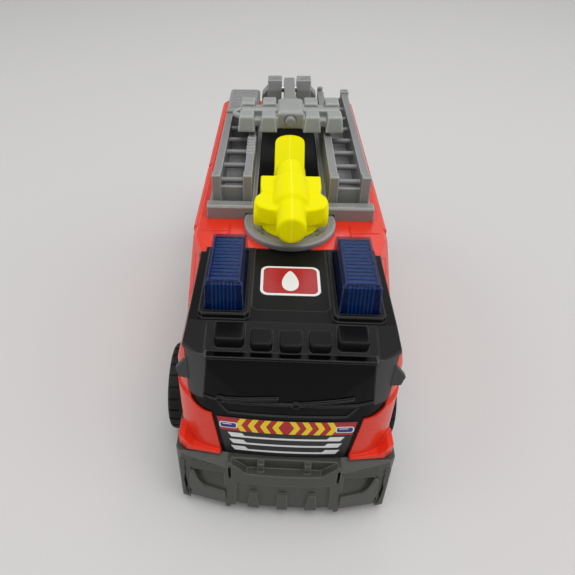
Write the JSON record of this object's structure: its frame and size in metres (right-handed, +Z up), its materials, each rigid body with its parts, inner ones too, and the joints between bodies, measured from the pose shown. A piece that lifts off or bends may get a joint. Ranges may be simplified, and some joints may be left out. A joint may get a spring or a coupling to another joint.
{
  "type": "toy fire engine",
  "caption": "Toy fire engine with free-wheeling axles, a swivelling water cannon, ladder deck, folding light mast and a push button for light and sound.",
  "frame": {"origin": "on the ground under the middle of the truck", "axes": "+Z up, the truck faces -Y, +X is the driver's left"},
  "size_m": [0.0888, 0.2, 0.1047],
  "materials": {
    "red_plastic": "moulded, satin gloss",
    "black_plastic": "moulded, satin",
    "window_black": "glossy",
    "olive_plastic": "moulded, fine satin",
    "grey_plastic": "moulded, satin",
    "yellow_plastic": "fluorescent, glossy",
    "blue_lens": "clear blue plastic",
    "red_lens": "clear red plastic",
    "led_white": "milky",
    "tyre": "moulded tread",
    "rim": "moulded, satin",
    "steel": "plain",
    "sleeve_rubber": "matt",
    "board_green": "lacquered board",
    "battery_case": "plain sleeve",
    "grille_print": "printed sticker",
    "badge_print": "printed sticker"
  },
  "bodies": {
    "truck": {"chassis": "olive_plastic", "body_shell": "red_plastic", "cab_front": "black_plastic", "window_left": "window_black", "window_right": "window_black", "mirror_left": "black_plastic", "mirror_right": "black_plastic", "lens_left": "blue_lens", "lens_right": "blue_lens", "led_left": "led_white", "led_right": "led_white", "deck_left": "grey_plastic", "deck_right": "grey_plastic", "locker": "grey_plastic", "channel_plate": "black_plastic", "mast_base": "grey_plastic", "mast_pin": "steel", "button_sleeve": "sleeve_rubber", "circuit_board": "board_green", "speaker": "black_plastic", "battery_door": "olive_plastic", "battery_left": "battery_case", "battery_right": "battery_case", "contact_front": "steel", "contact_rear": "steel", "body_screw_1": "steel", "body_screw_2": "steel", "body_screw_3": "steel", "body_screw_4": "steel", "tail_lamp_left": "red_lens", "tail_lamp_right": "red_lens", "grille_sticker": "grille_print", "roof_sticker": "badge_print"},
    "front_wheels": {"tyre_front_left": "tyre", "tyre_front_right": "tyre", "rim_front_left": "rim", "rim_front_right": "rim", "front_axle": "steel"},
    "rear_wheels": {"tyre_rear_left": "tyre", "tyre_rear_right": "tyre", "rim_rear_left": "rim", "rim_rear_right": "rim", "rear_axle": "steel"},
    "turntable": {"turntable": "grey_plastic", "turntable_retainer": "grey_plastic", "turntable_screw": "steel", "cannon_base": "yellow_plastic", "cannon_pin": "steel"},
    "cannon": {"cannon": "yellow_plastic"},
    "mast": {"mast_arm": "grey_plastic", "mast_head": "grey_plastic"},
    "button": {"button": "yellow_plastic"},
    "power_switch": {"power_switch": "black_plastic"}
  },
  "joints": [
    {"name": "front_axle_spin", "type": "hinge", "parent": "truck", "child": "front_wheels", "pos_m": [0, -0.0546, 0.0173], "axis": [1, 0, 0], "continuous": true},
    {"name": "rear_axle_spin", "type": "hinge", "parent": "truck", "child": "rear_wheels", "pos_m": [0, 0.052, 0.0173], "axis": [1, 0, 0], "continuous": true},
    {"name": "turntable_swivel", "type": "hinge", "parent": "truck", "child": "turntable", "pos_m": [0, -0.0322, 0.0815], "axis": [0, 0, 1], "range_deg": [-12, 12]},
    {"name": "cannon_tilt", "type": "hinge", "parent": "turntable", "child": "cannon", "pos_m": [0, -0.036, 0.0894], "axis": [-1, 0, 0], "range_deg": [-6, 5]},
    {"name": "mast_raise", "type": "hinge", "parent": "truck", "child": "mast", "pos_m": [0, 0.0688, 0.0976], "axis": [-1, 0, 0], "range_deg": [0, 85]},
    {"name": "button_press", "type": "slide", "parent": "truck", "child": "button", "axis": [0, 0, -1], "range_m": [0, 0.0025], "stiffness_N_per_m": 600, "deforming": ["button_sleeve"]},
    {"name": "switch_slide", "type": "slide", "parent": "truck", "child": "power_switch", "axis": [0, 1, 0], "range_m": [0, 0.004]}
  ]
}
